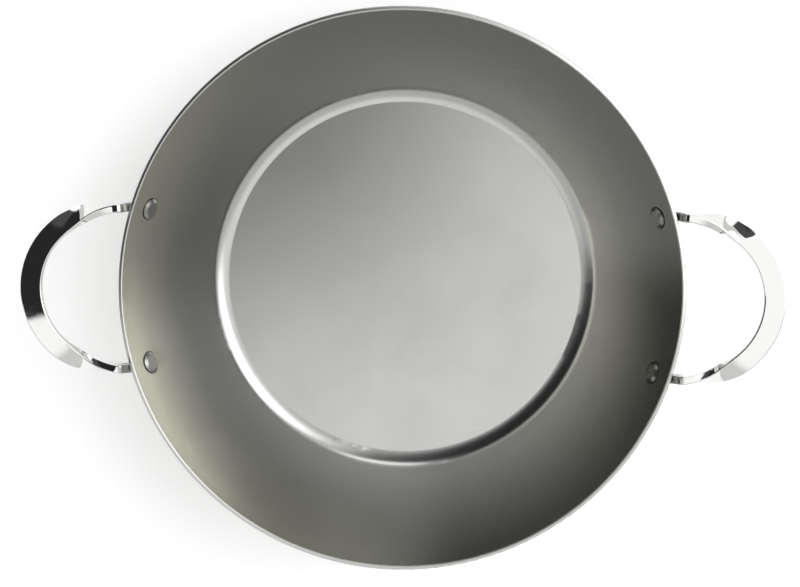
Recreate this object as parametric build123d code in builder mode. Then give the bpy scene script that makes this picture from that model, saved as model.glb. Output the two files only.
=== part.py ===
from build123d import *
import os
from math import asin, cos, radians, sin, sqrt

# A carbon steel frying pan with two looped side handles.
#
# The pan body is one pressed round of sheet steel: a flat base, a round knuckle and a
# leaning wall that bows a little outwards. Each handle is one cast stainless bar bent
# to a D. The bar stands on edge where it leaves the wall and twists to lie flat under
# the fingers. Each end of the bar runs into a pad that lies on the outside of the wall,
# and one rivet goes through the wall and the pad. The pan stands on z = 0 with its axis
# on Z, and the handles point along -X and +X. Sizes are in millimetres and degrees.

# Pan body
rim_diameter = 320.0  # over the outer edge of the rim
pan_height = 78.0  # table to the top of the rim
sheet_thickness = 2.5
rim_lean = 23.6  # between the wall and the axis, at the rim
wall_bow_radius = 350.0  # inner face, in section
knuckle_radius = 11.8  # inner face, between the base and the wall
rim_edge_radius = 0.6  # the sheared edge is dressed smooth

# Rivets
rivet_drop = 15.0  # rim plane to the middle of a rivet head, on the inner face
rivet_spacing = 88.6  # between the two rivet heads of one handle
shank_diameter = 6.0
hole_clearance = 0.05  # on the radius, in the wall and in the pad
head_diameter = 12.0  # inside the pan
head_height = 1.7
head_bevel_width = 1.7
head_bevel_height = 1.0
tail_diameter = 9.6  # the end that is formed over the pad
tail_height = 2.2
tail_edge_radius = 1.5
seat_depth = 0.5  # a head or pad is modelled this far into the wall, then cut to fit it

# Handle bars
bar_width = 11.0
bar_thickness = 4.8
bar_edge_radius = 0.8
crown_width = 12.2  # the grip is a little wider at its crown
crown_thickness = 4.0  # and thinner
crown_taper_length = 63.0  # from the crown along the bar
grip_reach = 48.2  # from the rim radius to the bar's middle line at the crown
loop_radius = 44.8  # middle line of the bent bar
handle_top = 4.6  # over the rim plane; the bar's highest line is level up to the root
stalk_splay = 6.0  # each straight end opens outwards towards the wall
flat_length = 72.0  # of the grip that lies flat
twist_length = 39.0  # at each end of the flat
bar_stations = 17  # sections on each half of the bar

# Handle roots, where the bar dives under the rim to the outside of the wall
root_inset = 1.0  # from the rim radius inwards to the start of the dive
root_length = 7.0
root_dive = 7.8
root_width = 8.4
root_overrun = 4.0  # the root is modelled this much longer, then cut to the wall
root_stations = 9

# Handle pads
pad_diameter = 18.0
pad_thickness = 2.8
pad_neck_diameter = 6.0
pad_neck_offset = 9.6  # from the rivet up the wall to the middle of the neck
pad_edge_radius = 0.8

rim_radius = rim_diameter / 2
lean = radians(rim_lean)
rim_inner_radius = rim_radius - sheet_thickness * cos(lean)
bow_centre_radius = rim_inner_radius - wall_bow_radius * cos(lean)
bow_centre_height = pan_height + wall_bow_radius * sin(lean)


def wall_radius(height):
    """Radius of the wall's inner face at a height."""
    return bow_centre_radius + sqrt(wall_bow_radius**2 - (bow_centre_height - height) ** 2)


rivet_height = pan_height - rivet_drop
rivet_radius = wall_radius(rivet_height)
rivet_lean = asin((bow_centre_height - rivet_height) / wall_bow_radius)
rivet_azimuth = asin(rivet_spacing / 2 / rivet_radius)


def rivet_plane(side, end):
    """Plane on the inner wall at a rivet. Its Z points into the pan and its Y up the wall."""
    out_x = side * cos(rivet_azimuth)
    out_y = end * sin(rivet_azimuth)
    inward = (-out_x * cos(rivet_lean), -out_y * cos(rivet_lean), sin(rivet_lean))
    level = (out_y, -out_x, 0)
    origin = (rivet_radius * out_x, rivet_radius * out_y, rivet_height)
    return Plane(origin=origin, x_dir=level, z_dir=inward)


def inner_face_lines():
    """Section of the inner face, from the axis over the knuckle to the rim, in the open line block."""
    with BuildLine() as inner:
        corner = (wall_radius(sheet_thickness), sheet_thickness)
        Line((0, sheet_thickness), corner)
        RadiusArc(corner, (rim_inner_radius, pan_height), -wall_bow_radius)
        fillet(inner.vertices().sort_by_distance((*corner, 0))[0], knuckle_radius)
    return inner.line


# The pressed sheet without its holes, and the space it encloses
with BuildPart() as blank:
    with BuildSketch(Plane.XZ) as section:
        with BuildLine():
            add(inner_face_lines())
            offset(amount=sheet_thickness, side=Side.RIGHT, closed=True)
        make_face()
        fillet(section.vertices().sort_by(Axis.X)[-2:], rim_edge_radius)
    revolve(axis=Axis.Z)

with BuildPart() as hollow:
    with BuildSketch(Plane.XZ):
        with BuildLine():
            add(inner_face_lines())
            Polyline((rim_inner_radius, pan_height), (0, pan_height), (0, sheet_thickness))
        make_face()
    revolve(axis=Axis.Z)

handle_ends = [(side, end) for side in (-1, 1) for end in (-1, 1)]

with BuildPart() as pan_body:
    add(blank.part)
    for side, end in handle_ends:
        with BuildSketch(rivet_plane(side, end).offset(-2 * sheet_thickness)):
            Circle(shank_diameter / 2 + hole_clearance)
        extrude(amount=4 * sheet_thickness, mode=Mode.SUBTRACT)


def smooth_step(value):
    """0 below 0, 1 above 1, and a smooth climb between them."""
    value = min(max(value, 0.0), 1.0)
    return value * value * (3 - 2 * value)


arc_half_angle = radians(90 - stalk_splay)
arc_half_length = loop_radius * arc_half_angle
loop_centre = rim_radius + grip_reach - loop_radius
arc_end_reach = loop_centre + loop_radius * cos(arc_half_angle)
root_start = arc_half_length + (arc_end_reach - rim_radius + root_inset) / sin(arc_half_angle)
root_end = root_start + root_length + root_overrun


def bar_section(distance):
    """Section of the right bar at a distance along it from the crown, positive on the +Y half.

    The section's X runs across the wide faces: up on the straight ends, inwards on the grip.
    """
    end = 1 if distance > 0 else -1
    along = abs(distance)
    angle = min(along, arc_half_length) / loop_radius
    straight = max(along - arc_half_length, 0.0)
    reach = loop_centre + loop_radius * cos(angle) - straight * sin(angle)
    spread = loop_radius * sin(angle) + straight * cos(angle)
    turned = smooth_step((along - flat_length / 2) / twist_length)
    turn = radians(90) * (1 - turned)
    dived = smooth_step((along - root_start) / root_length)
    grown = smooth_step(along / crown_taper_length)
    width = crown_width + (bar_width - crown_width) * grown
    width += (root_width - bar_width) * dived
    thickness = crown_thickness + (bar_thickness - crown_thickness) * grown
    below_top = width / 2 * cos(turn) + thickness / 2 * sin(turn)
    height = pan_height + handle_top - root_dive * dived - below_top
    outward = Vector(cos(angle), end * sin(angle), 0)
    onward = Vector(-end * sin(angle), cos(angle), 0)
    across = Vector(0, 0, cos(turn)) - outward * sin(turn)
    plane = Plane(origin=(reach, end * spread, height), x_dir=across, z_dir=onward)
    with BuildSketch(plane) as section:
        RectangleRounded(width, thickness, bar_edge_radius)
    return section.sketch


def handle_pad(end):
    """Pad of the right handle at one rivet, with a neck that reaches up to the bar."""
    inside = rivet_plane(1, end).offset(seat_depth - sheet_thickness)
    with BuildPart() as pad:
        with BuildSketch(inside):
            Circle(pad_diameter / 2)
            with Locations((0, pad_neck_offset)):
                Circle(pad_neck_diameter / 2)
            make_hull()
        extrude(amount=-(pad_thickness + seat_depth))
        outer_face = pad.faces().sort_by(Axis(inside.origin, inside.z_dir))[0]
        fillet(outer_face.edges(), pad_edge_radius)
    return pad.part


with BuildPart() as handle_right:
    bar_steps = range(-bar_stations, bar_stations + 1)
    loft([bar_section(root_start * step / bar_stations) for step in bar_steps])
    for end in (-1, 1):
        root_steps = [step / (root_stations - 1) for step in range(root_stations)]
        root_places = [root_start + (root_end - root_start) * step for step in root_steps]
        loft([bar_section(end * place) for place in root_places])
    for end in (-1, 1):
        add(handle_pad(end))
    add(blank.part, mode=Mode.SUBTRACT)
    add(hollow.part, mode=Mode.SUBTRACT)
    for end in (-1, 1):
        with BuildSketch(rivet_plane(1, end)):
            Circle(shank_diameter / 2 + hole_clearance)
        extrude(amount=-(sheet_thickness + 2 * pad_thickness), mode=Mode.SUBTRACT)

with BuildPart() as handle_left:
    mirror(handle_right.part, about=Plane.YZ)


def rivet(side, end):
    """Rivet with a bevelled head cut to the inner wall, a shank, and a tail formed over the pad."""
    wall_plane = rivet_plane(side, end)
    axis = Axis(wall_plane.origin, wall_plane.z_dir)
    with BuildPart() as solid:
        with BuildSketch(wall_plane.offset(-seat_depth)):
            Circle(head_diameter / 2)
        extrude(amount=seat_depth + head_height)
        head_edge = solid.faces().sort_by(axis)[-1].edges()
        chamfer(head_edge, head_bevel_height, head_bevel_width)
        add(blank.part, mode=Mode.SUBTRACT)
        with BuildSketch(wall_plane.offset(head_height / 2)):
            Circle(shank_diameter / 2)
        extrude(amount=-(head_height / 2 + sheet_thickness + pad_thickness))
        with BuildSketch(wall_plane.offset(-(sheet_thickness + pad_thickness))):
            Circle(tail_diameter / 2)
        extrude(amount=-tail_height)
        tail_edge = solid.faces().sort_by(axis)[0].edges()
        fillet(tail_edge, tail_edge_radius)
    return solid.part


pieces = {
    "pan_body": pan_body.part,
    "handle_left": handle_left.part,
    "handle_right": handle_right.part,
}
side_names = {-1: "left", 1: "right"}
end_names = {-1: "lower", 1: "upper"}
for side, end in handle_ends:
    pieces[f"rivet_{side_names[side]}_{end_names[end]}"] = rivet(side, end)

os.makedirs("parts", exist_ok=True)
for name, piece in pieces.items():
    piece.label = name
    export_step(piece, f"parts/{name}.step")
    box = piece.bounding_box()
    print(f"{name}: {len(piece.solids())} solid, {piece.volume:.0f} mm3, {box.min} to {box.max}")
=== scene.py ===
# %% [markdown]
# # A two-handled frying pan in carbon steel
#
# The real pan is one round of sheet steel, pressed into a dish, with two polished
# stainless handles riveted to its wall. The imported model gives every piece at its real
# size and in its real place, so nothing is placed again here. This script gives each
# metal its finish, and adds a studio and a camera.

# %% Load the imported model
from math import cos, radians, sin

import bpy
import numpy as np
from mathutils import Matrix, Vector


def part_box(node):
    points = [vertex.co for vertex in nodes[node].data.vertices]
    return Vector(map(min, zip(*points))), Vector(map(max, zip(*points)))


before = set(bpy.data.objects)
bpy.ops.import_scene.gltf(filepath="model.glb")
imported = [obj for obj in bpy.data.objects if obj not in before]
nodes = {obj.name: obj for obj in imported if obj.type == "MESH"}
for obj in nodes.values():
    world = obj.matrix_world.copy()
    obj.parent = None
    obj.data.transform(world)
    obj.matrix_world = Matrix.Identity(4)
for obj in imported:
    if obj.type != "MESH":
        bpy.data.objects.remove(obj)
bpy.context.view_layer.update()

scene = bpy.context.scene
print("pieces:", sorted(nodes))

# %% [markdown]
# ## Colours and nodes
#
# Colours are written as sRGB hex values, the way a paint program shows them, because
# they are easy to compare with a picture. Blender computes in linear light, so one
# function turns them over. Materials are node trees, which could be clicked together by
# hand. Here small helpers add the nodes that come up again and again, so that a
# material reads like a recipe.

# %% Colours
mm = 0.001


def linear(hex_colour):
    """sRGB hex to linear RGBA: a low stretch divided by 12.92, the rest raised to 2.4."""
    srgb = np.array([int(hex_colour[i : i + 2], 16) / 255 for i in (1, 3, 5)])
    rgb = np.where(srgb <= 0.04045, srgb / 12.92, ((srgb + 0.055) / 1.055) ** 2.4)
    return (*rgb.tolist(), 1.0)


print("mid grey #808080 is", round(linear("#808080")[0], 3), "in linear light")

# %% Nodes
mix_under = 6  # the inputs and the output of a Mix node that mixes colours
mix_over = 7
mix_result = 2


def add_node(tree, kind, options=None, inputs=None):
    """Adds a node. An input takes a value, or the output of another node."""
    node = tree.nodes.new(kind)
    for option, value in (options or {}).items():
        setattr(node, option, value)
    for key, value in (inputs or {}).items():
        if isinstance(value, bpy.types.NodeSocket):
            tree.links.new(value, node.inputs[key])
        else:
            node.inputs[key].default_value = value
    return node


def calculate(tree, operation, *values):
    """Result of a Math node."""
    node = add_node(tree, "ShaderNodeMath", {"operation": operation}, dict(enumerate(values)))
    return node.outputs[0]


def measure(tree, operation, *vectors):
    """Number that a Vector Math node gives, such as a length or a dot product."""
    node = add_node(tree, "ShaderNodeVectorMath", {"operation": operation}, dict(enumerate(vectors)))
    return node.outputs["Value"]


def ramp(tree, value, start, end, low=0.0, high=1.0, shape="SMOOTHSTEP"):
    """Number that runs from low to high while the value runs from start to end."""
    span = {"Value": value, "From Min": start, "From Max": end, "To Min": low, "To Max": high}
    return add_node(tree, "ShaderNodeMapRange", {"interpolation_type": shape}, span).outputs["Result"]


def noise(tree, place, size, detail, roughness=0.5, distortion=0.0):
    """Noise with swells of about the given size."""
    inputs = {"Vector": place, "Scale": 1 / size, "Detail": detail}
    inputs |= {"Roughness": roughness, "Distortion": distortion}
    return add_node(tree, "ShaderNodeTexNoise", {}, inputs).outputs["Fac"]


def blend(tree, amount, under, over):
    """Colour that turns from under to over. Each is a hex value or a socket."""
    under, over = [linear(part) if isinstance(part, str) else part for part in (under, over)]
    inputs = {"Factor": amount, mix_under: under, mix_over: over}
    return add_node(tree, "ShaderNodeMix", {"data_type": "RGBA"}, inputs).outputs[mix_result]


def between(tree, amount, low, high):
    """Number that turns from low to high."""
    inputs = {"Factor": amount, "A": low, "B": high}
    return add_node(tree, "ShaderNodeMix", {"data_type": "FLOAT"}, inputs).outputs["Result"]


noise_span = (0.3, 0.7)  # most values of the noise lie in here
wide_span = (0.25, 0.75)  # and nearly all in here
print("noise is spread from", noise_span, "or", wide_span, "to the values that a finish needs")


# %% Materials
def new_material(name):
    """A material without nodes, and its empty tree."""
    material = bpy.data.materials.new(name)
    material.use_nodes = True
    material.node_tree.nodes.clear()
    return material, material.node_tree


def place_on_piece(tree):
    """The place of each point, in the piece's own coordinates."""
    return add_node(tree, "ShaderNodeTexCoord").outputs["Object"]


def axis_distance(tree, place):
    """How far a point is from the pan's axis."""
    level = {0: place, 1: (1.0, 1.0, 0.0)}
    flat = add_node(tree, "ShaderNodeVectorMath", {"operation": "MULTIPLY"}, level)
    return measure(tree, "LENGTH", flat.outputs[0])


def metal_surface(tree, colour, roughness, relief, strength, depth):
    """Ends a tree with bare metal of a colour and a roughness, and with a relief."""
    bump = {"Height": relief, "Strength": strength, "Distance": depth}
    normal = add_node(tree, "ShaderNodeBump", {}, bump).outputs[0]
    look = {"Metallic": 1.0, "Base Color": colour, "Roughness": roughness, "Normal": normal}
    shader = add_node(tree, "ShaderNodeBsdfPrincipled", {}, look)
    add_node(tree, "ShaderNodeOutputMaterial", {}, {"Surface": shader.outputs[0]})


# %% [markdown]
# ## Waxed carbon steel
#
# The pan body is carbon steel sheet, cold rolled, pressed and covered with a thin wax
# against rust. Bare steel like this is satin: it mirrors the room, but softly. A picture
# of real steel could be wrapped round it. Instead every mark is worked out from the
# place on the pan, so that it stays sharp from near by and goes with the sheet on both
# sides. The marks are:
#
# - clouds a few centimetres across, where the wax is thicker and the gloss lower
# - a darker grey on the wall than on the base, which is painted shade
# - on the upper wall, painted shade that darkens it towards the right, and on the left
#   a painted lighter tone that carries the wax's own warm tint
# - hairline scratches a few centimetres long, from the sheet's handling
# - specks about a millimetre across
# - rolling grain, drawn at half a millimetre, which is coarser than the real one so
#   that it shows
# - a brighter and duller line on the rim, whose edge is dressed with a fine belt; its
#   brighter colour is partly a painted highlight
# - a dark seam round each rivet head: dirt that the wax holds, and painted shade where
#   the head meets the wall

# %% Places on the pan that the finish follows
rim_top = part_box("pan_body")[1][2]
rim_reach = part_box("pan_body")[1][0]
wall_shade_span = (113 * mm, 137 * mm)  # from the axis: the wall's painted shade sets in and is full
upper_shade_and_tint_span = (122 * mm, 156 * mm)  # and so for the upper wall's painted shade and wax tint
edge_and_highlight_span = (rim_top - 1.1 * mm, rim_top - 0.5 * mm)  # height of the dressed edge and its painted highlight
head_place = (144.1 * mm, 44.3 * mm, 63.0 * mm)  # middle of a rivet head, on the wall
head_radius = 6.0 * mm
# a ring of dirt and painted shade just outside each rivet head
seam_dirt_and_shade_span = (head_radius + 0.9 * mm, head_radius + 0.3 * mm)
print("rim: radius", round(rim_reach / mm, 1), "mm, height", round(rim_top / mm, 1), "mm")

# %% Colour of the waxed sheet, with painted shade
thin_wax, thick_wax = "#C5C5C3", "#C0C0BE"
# painted shade: the wall's grey is darker than the base's
wall_shade_grey, wall_shade_cover = "#ADADAA", 0.8
# upper wall: painted shade on the right, and on the left a painted lighter tone with the wax's warm
# tint
right_painted_shade, left_wax_tint_and_light = "#929290", "#C1BFB0"
toward_right = (0.95, 0.3, 0.0)
left_reach = -145 * mm  # where the warm tint and painted lighter tone of the left side are full


def waxed_and_shaded_colour(tree, place, clouds):
    """Clouded grey of the base, with painted shade on the wall, and painted shade and light with the
    wax's tint at the top of the wall.
    """
    reach = axis_distance(tree, place)
    wax = ramp(tree, clouds, *noise_span, shape="LINEAR")
    sheet = blend(tree, wax, thin_wax, thick_wax)
    # painted shade that makes the wall darker than the base
    wall_shade = ramp(tree, reach, *wall_shade_span, high=wall_shade_cover)
    shaded = blend(tree, wall_shade, sheet, wall_shade_grey)
    # painted shade towards the right of the upper wall, painted light and the wax's tint towards the
    # left
    to_left = ramp(tree, measure(tree, "DOT_PRODUCT", place, toward_right), 0.0, left_reach)
    tint_and_shade = blend(tree, to_left, right_painted_shade, left_wax_tint_and_light)
    return blend(tree, ramp(tree, reach, *upper_shade_and_tint_span), shaded, tint_and_shade)


print("clouds from", thin_wax, "to", thick_wax, "and a tint from", right_painted_shade, "to", left_wax_tint_and_light)

# %% Scratches and specks
scratches = ((28, 46 * mm), (-57, 38 * mm), (83, 60 * mm))  # turn in degrees, and length
scratch_width = 0.9 * mm
scratch_rise = 30 * mm  # how far a scratch runs up the wall
scratch_span = (0.78, 0.86)  # only the crests of the noise become scratches
speck_spacing = 14 * mm
speck_span = (0.055, 0.03)  # from the middle of a speck, as a share of the spacing


def handling_marks(tree, place):
    """1 on a scratch or a speck, and 0 between them."""
    spots = add_node(tree, "ShaderNodeTexVoronoi", {}, {"Vector": place, "Scale": 1 / speck_spacing})
    marks = ramp(tree, spots.outputs["Distance"], *speck_span, shape="LINEAR")
    for turn, length in scratches:
        scale = (1 / length, 1 / scratch_width, 1 / scratch_rise)
        stretch = {"Vector": place, "Rotation": (0, 0, radians(turn)), "Scale": scale}
        stretched = add_node(tree, "ShaderNodeMapping", {}, stretch).outputs[0]
        streaks = noise(tree, stretched, size=1.0, detail=0.0)
        hairline = ramp(tree, streaks, *scratch_span, shape="LINEAR")
        marks = calculate(tree, "MAXIMUM", marks, hairline)
    return marks


print("scratches run", len(scratches), "ways")

# %% Waxed carbon steel
cloud_size = 45 * mm
grain_size = 0.5 * mm
mark_colour, mark_cover = "#E4E4E0", 0.14
mark_relief = -0.25  # how deep the marks cut, beside the grain's relief
# the dressed edge is rougher bare steel, and its lighter colour is partly a painted highlight
edge_and_highlight_colour, edge_roughness = "#DCDCD8", 0.3
# the seam round each head is dirt in the wax and painted shade between head and wall
seam_dirt_and_shade_colour, seam_dirt_and_shade_cover = "#2E2C28", 0.85
wax_roughness = (0.21, 0.25)
sheet_bump, sheet_depth = 0.06, 0.15 * mm


def waxed_carbon_steel():
    """Satin grey metal with clouds, painted shade on the wall, a tinted upper wall with painted shade
    and light, scratches, specks, grain, a rim line with a painted highlight, and seams of dirt and
    painted shade.
    """
    material, tree = new_material("waxed_carbon_steel")
    place = place_on_piece(tree)
    clouds = noise(tree, place, cloud_size, detail=4.0, roughness=0.55, distortion=0.4)
    marks = handling_marks(tree, place)
    colour = waxed_and_shaded_colour(tree, place, clouds)
    colour = blend(tree, calculate(tree, "MULTIPLY", marks, mark_cover), colour, mark_colour)

    height = add_node(tree, "ShaderNodeSeparateXYZ", {}, {0: place}).outputs["Z"]
    # the rim's dressed edge, lighter as a painted highlight
    edge = ramp(tree, height, *edge_and_highlight_span)
    colour = blend(tree, edge, colour, edge_and_highlight_colour)

    # dirt and painted shade in a ring round each rivet head
    mirrored = add_node(tree, "ShaderNodeVectorMath", {"operation": "ABSOLUTE"}, {0: place})
    to_head = measure(tree, "DISTANCE", mirrored.outputs[0], head_place)
    seam_dirt_and_shade = ramp(tree, to_head, *seam_dirt_and_shade_span, high=seam_dirt_and_shade_cover)
    colour = blend(tree, seam_dirt_and_shade, colour, seam_dirt_and_shade_colour)

    satin = ramp(tree, clouds, *wide_span, *wax_roughness, shape="LINEAR")
    roughness = between(tree, edge, satin, edge_roughness)
    grain = noise(tree, place, grain_size, detail=2.0)
    relief = calculate(tree, "MULTIPLY_ADD", marks, mark_relief, grain)
    metal_surface(tree, colour, roughness, relief, sheet_bump, sheet_depth)
    return material


# %% [markdown]
# ## Polished stainless steel
#
# The handles are stainless steel, cast and then polished on a wheel. They mirror the room
# almost sharply. A perfect mirror would do, but a cast and hand-polished face is never
# quite flat. So a weak bump, about a centimetre from swell to swell, bends the mirrored
# edges a little. The ends beside the pan are hard to reach with the wheel and stay duller,
# and their darker colour there is painted shade beside the rim.

# %% Polished stainless steel
swell_size = 11 * mm
haze_size = 3 * mm
dull_and_shaded_span = (rim_reach + 7 * mm, rim_reach + 2 * mm)  # from the axis: where the ends turn duller, and darker as painted shade
# the darker steel beside the pan is painted shade
bright_steel, shaded_root_steel = "#E6E6E4", "#A9A9A6"
wheel_roughness = (0.012, 0.03)
dull_roughness = 0.28
swell_bump, swell_depth = 0.12, 0.05 * mm


def polished_stainless_steel():
    """Bright mirror metal with slow swells, duller close to the pan's wall, and darker there as
    painted shade.
    """
    material, tree = new_material("polished_stainless_steel")
    place = place_on_piece(tree)
    # the ends beside the rim turn duller, and darker as painted shade
    dull_and_shaded = ramp(tree, axis_distance(tree, place), *dull_and_shaded_span)
    colour = blend(tree, dull_and_shaded, bright_steel, shaded_root_steel)
    haze = noise(tree, place, haze_size, detail=3.0)
    polished = ramp(tree, haze, *noise_span, *wheel_roughness, shape="LINEAR")
    roughness = between(tree, dull_and_shaded, polished, dull_roughness)
    swells = noise(tree, place, swell_size, detail=1.0)
    metal_surface(tree, colour, roughness, swells, swell_bump, swell_depth)
    return material


# %% [markdown]
# ## Rivet steel
#
# The rivets are mild steel, headed cold in a die. A die leaves a satin face with fine
# pits, a little darker than the sheet round it. The pits are too small to model, so a
# noise of less than a millimetre gives them their tone, their gloss and their relief.

# %% Die-formed rivet steel
pit_size = 0.8 * mm
rivet_light, rivet_dark = "#A5A49F", "#8D8C88"
rivet_roughness = (0.24, 0.34)
pit_bump, pit_depth = 0.15, 0.1 * mm


def die_formed_steel():
    """Satin grey metal with fine pits."""
    material, tree = new_material("die_formed_rivet_steel")
    place = place_on_piece(tree)
    pits = noise(tree, place, pit_size, detail=3.0)
    colour = blend(tree, pits, rivet_light, rivet_dark)
    roughness = ramp(tree, pits, *noise_span, *rivet_roughness, shape="LINEAR")
    metal_surface(tree, colour, roughness, pits, pit_bump, pit_depth)
    return material


# %% [markdown]
# ## One metal for each piece
#
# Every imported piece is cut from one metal, and the first word of its name says which.
# Faces could be painted one by one, but no piece here needs that.

# %% Give each piece its metal
finishes = {
    "pan": waxed_carbon_steel(),
    "handle": polished_stainless_steel(),
    "rivet": die_formed_steel(),
}
for name, piece in nodes.items():
    piece.data.materials.clear()
    piece.data.materials.append(finishes[name.split("_")[0]])
    print(name, "is", piece.data.materials[0].name)

# %% [markdown]
# ## The studio
#
# Metal shows the room that it mirrors, so the room makes most of the picture. Lamps could
# be built as objects, but a room that is only a function of direction lights every side
# of the pan the same way and is easy to tune. It is pale, and brightest overhead. It has
# two softboxes, one to the right and one low beyond the far rim. A black flag on the far
# left gives the steel its dark side. The flag hangs well above the horizon, so that the
# room stays pale behind the pan in a low view.

# %% Room
world = bpy.data.worlds.new("studio")
world.use_nodes = True
scene.world = world
tree = world.node_tree
tree.nodes.clear()
direction = add_node(tree, "ShaderNodeTexCoord").outputs["Generated"]
axes = add_node(tree, "ShaderNodeSeparateXYZ", {}, {0: direction}).outputs

wall_level = 0.72
overhead_level = 1.2
overhead_span = (0.75, 1.0)  # the direction's Z: where the room gets brighter and is brightest
level = ramp(tree, axes["Z"], *overhead_span, wall_level, overhead_level)
print("room:", wall_level, "at the walls,", overhead_level, "overhead")

# %% Black flag
flag_dark = 0.024
flag_sheen = 0.08  # towards the far side the black cloth shines a little
sheen_span = (-0.2, -0.06)  # the direction's X: where the sheen sets in and is full
flag_edges = [  # a direction and the least share of it that is still inside
    ((-1.0, 0.25, 0.01), 0.0),
    ((-0.18, 1.0, 0.098), 0.0),
    ((0.0, 0.0, 1.0), 0.3),
]
flag_softness = 0.002
flag_level = ramp(tree, axes["X"], *sheen_span, flag_dark, flag_sheen)
flag = 1.0
for edge, least in flag_edges:
    inside = measure(tree, "DOT_PRODUCT", direction, edge)
    step = ramp(tree, inside, least - flag_softness, least + flag_softness)
    flag = calculate(tree, "MULTIPLY", flag, step)
level = between(tree, flag, level, flag_level)
print("flag:", flag_dark, "to", flag_sheen)

# %% Softboxes
softboxes = {  # azimuth from +X, angle from overhead, gain, where it starts and is full, in degrees
    "right_softbox": (22, 46, 2.48, 31, 10),
    "far_softbox": (86, 70, 1.6, 18, 8),
}
for azimuth, lean, gain, start, full in softboxes.values():
    level_share = sin(radians(lean))
    middle = (
        level_share * cos(radians(azimuth)),
        level_share * sin(radians(azimuth)),
        cos(radians(lean)),
    )
    toward = measure(tree, "DOT_PRODUCT", direction, middle)
    glow = ramp(tree, toward, cos(radians(start)), cos(radians(full)), high=gain)
    level = calculate(tree, "ADD", level, glow)
print("softboxes:", sorted(softboxes))

white = (1.0, 1.0, 1.0, 1.0)
background = add_node(tree, "ShaderNodeBackground", {}, {"Color": white, "Strength": level})
add_node(tree, "ShaderNodeOutputWorld", {}, {"Surface": background.outputs[0]})

# %% [markdown]
# ## The floor
#
# The floor is a sheet of white paper that the pan stands on. It catches the pan's soft
# shadow. Stronger lamps could turn the paper white, but they would bleach the steel too.
# Instead an even, weak glow lifts the paper for the camera and for the metal that mirrors
# it. Diffuse rays don't see the glow. The sheet is so large that it also fills a low view.

# %% White paper floor
floor_reach = 20.0
paper_colour = "#EDEDED"
paper_glow = 0.42
corners = [(-1, -1), (1, -1), (1, 1), (-1, 1)]
floor_mesh = bpy.data.meshes.new("paper_floor")
floor_mesh.from_pydata([(x * floor_reach, y * floor_reach, 0) for x, y in corners], [], [(0, 1, 2, 3)])
floor = bpy.data.objects.new("paper_floor", floor_mesh)
scene.collection.objects.link(floor)

material, tree = new_material("white_paper")
paper = add_node(tree, "ShaderNodeBsdfDiffuse", {}, {"Color": linear(paper_colour)})
ray = add_node(tree, "ShaderNodeLightPath").outputs
seen = ray["Is Camera Ray"]
for kind in ("Is Glossy Ray", "Is Transmission Ray"):
    seen = calculate(tree, "MAXIMUM", seen, ray[kind])
glow_amount = calculate(tree, "MULTIPLY", seen, paper_glow)
glow = add_node(tree, "ShaderNodeEmission", {}, {"Strength": glow_amount})
lit_paper = add_node(tree, "ShaderNodeAddShader", {}, {0: paper.outputs[0], 1: glow.outputs[0]})
add_node(tree, "ShaderNodeOutputMaterial", {}, {"Surface": lit_paper.outputs[0]})
floor_mesh.materials.append(material)
print("floor:", 2 * floor_reach, "m square")

# %% [markdown]
# ## The camera
#
# The photograph looks almost straight into the pan, a little from the far side. The
# camera's place is given as angles from the pan's axis and a distance from the middle of
# the rim, and its lens as a focal length in picture pixels. Those are the values that a
# photographer would turn, and the picture's measures give each of them.

# %% Camera
picture_width = 800
pixel_focal = 1603.0  # focal length in picture pixels
sensor_width = 36.0  # in mm, a full-frame sensor
camera_distance = 0.9  # to the middle of the rim
camera_east = radians(1.5)
camera_north = radians(7.1)
camera_roll = radians(0.9)
rim_centre = Vector((0, 0, 0.078))
aim_offset = Vector((-0.00056, 0.00034))  # right and up in the picture

offset = Vector(
    (
        sin(camera_east),
        sin(camera_north) * cos(camera_east),
        cos(camera_north) * cos(camera_east),
    )
)
ahead = -offset.normalized()
right_flat = ahead.cross(Vector((0, 1, 0))).normalized()
up_flat = right_flat.cross(ahead)
right_rolled = right_flat * cos(camera_roll) + up_flat * sin(camera_roll)
up_rolled = up_flat * cos(camera_roll) - right_flat * sin(camera_roll)
aim_shift = right_rolled * aim_offset.x + up_rolled * aim_offset.y
camera_place = rim_centre + offset * camera_distance + aim_shift
camera_turn = Matrix((right_rolled, up_rolled, -ahead)).transposed()

camera_data = bpy.data.cameras.new("camera")
camera_data.sensor_fit = "HORIZONTAL"
camera_data.sensor_width = sensor_width
camera_data.lens = sensor_width * pixel_focal / picture_width
camera = bpy.data.objects.new("camera", camera_data)
scene.collection.objects.link(camera)
camera.matrix_world = Matrix.Translation(camera_place) @ camera_turn.to_4x4()
scene.camera = camera
scene.view_settings.view_transform = "Standard"
print("camera at", [round(v, 3) for v in camera_place])
print("lens:", round(camera_data.lens, 1), "mm")
